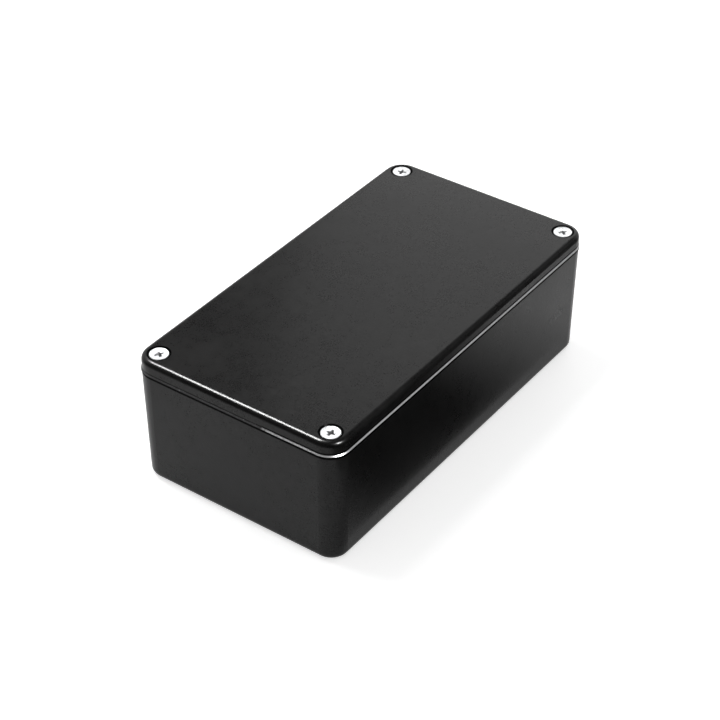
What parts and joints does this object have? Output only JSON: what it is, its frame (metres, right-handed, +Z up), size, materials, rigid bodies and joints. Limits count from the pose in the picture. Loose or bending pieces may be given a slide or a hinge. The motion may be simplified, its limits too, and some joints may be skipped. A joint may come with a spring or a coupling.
{
  "type": "die cast aluminium enclosure",
  "caption": "Small rectangular die cast box with drafted walls and corner pillars, closed by a flat lid held with countersunk screws in its corners.",
  "frame": {"origin": "middle of the base, on the surface that the box stands on", "axes": "+X along the box's length, +Y across it, +Z up through the lid"},
  "size_m": [0.121, 0.066, 0.0395],
  "materials": {
    "box_paint": "black satin paint over a die cast aluminium surface",
    "lid_paint": "black satin paint over a die cast aluminium surface",
    "screw_zinc": "bright zinc plated steel"
  },
  "bodies": {
    "box": {"box_body": "box_paint"},
    "lid": {"lid": "lid_paint"},
    "screw_1": {"lid_screw_1": "screw_zinc"},
    "screw_2": {"lid_screw_2": "screw_zinc"},
    "screw_3": {"lid_screw_3": "screw_zinc"},
    "screw_4": {"lid_screw_4": "screw_zinc"}
  },
  "joints": [
    {"name": "lid_lift", "type": "slide", "parent": "box", "child": "lid", "axis": [0, 0, 1], "range_m": [0, 0.06]},
    {"name": "screw_1_out", "type": "slide", "parent": "lid", "child": "screw_1", "axis": [0, 0, 1], "range_m": [0, 0.013]},
    {"name": "screw_2_out", "type": "slide", "parent": "lid", "child": "screw_2", "axis": [0, 0, 1], "range_m": [0, 0.013]},
    {"name": "screw_3_out", "type": "slide", "parent": "lid", "child": "screw_3", "axis": [0, 0, 1], "range_m": [0, 0.013]},
    {"name": "screw_4_out", "type": "slide", "parent": "lid", "child": "screw_4", "axis": [0, 0, 1], "range_m": [0, 0.013]}
  ]
}
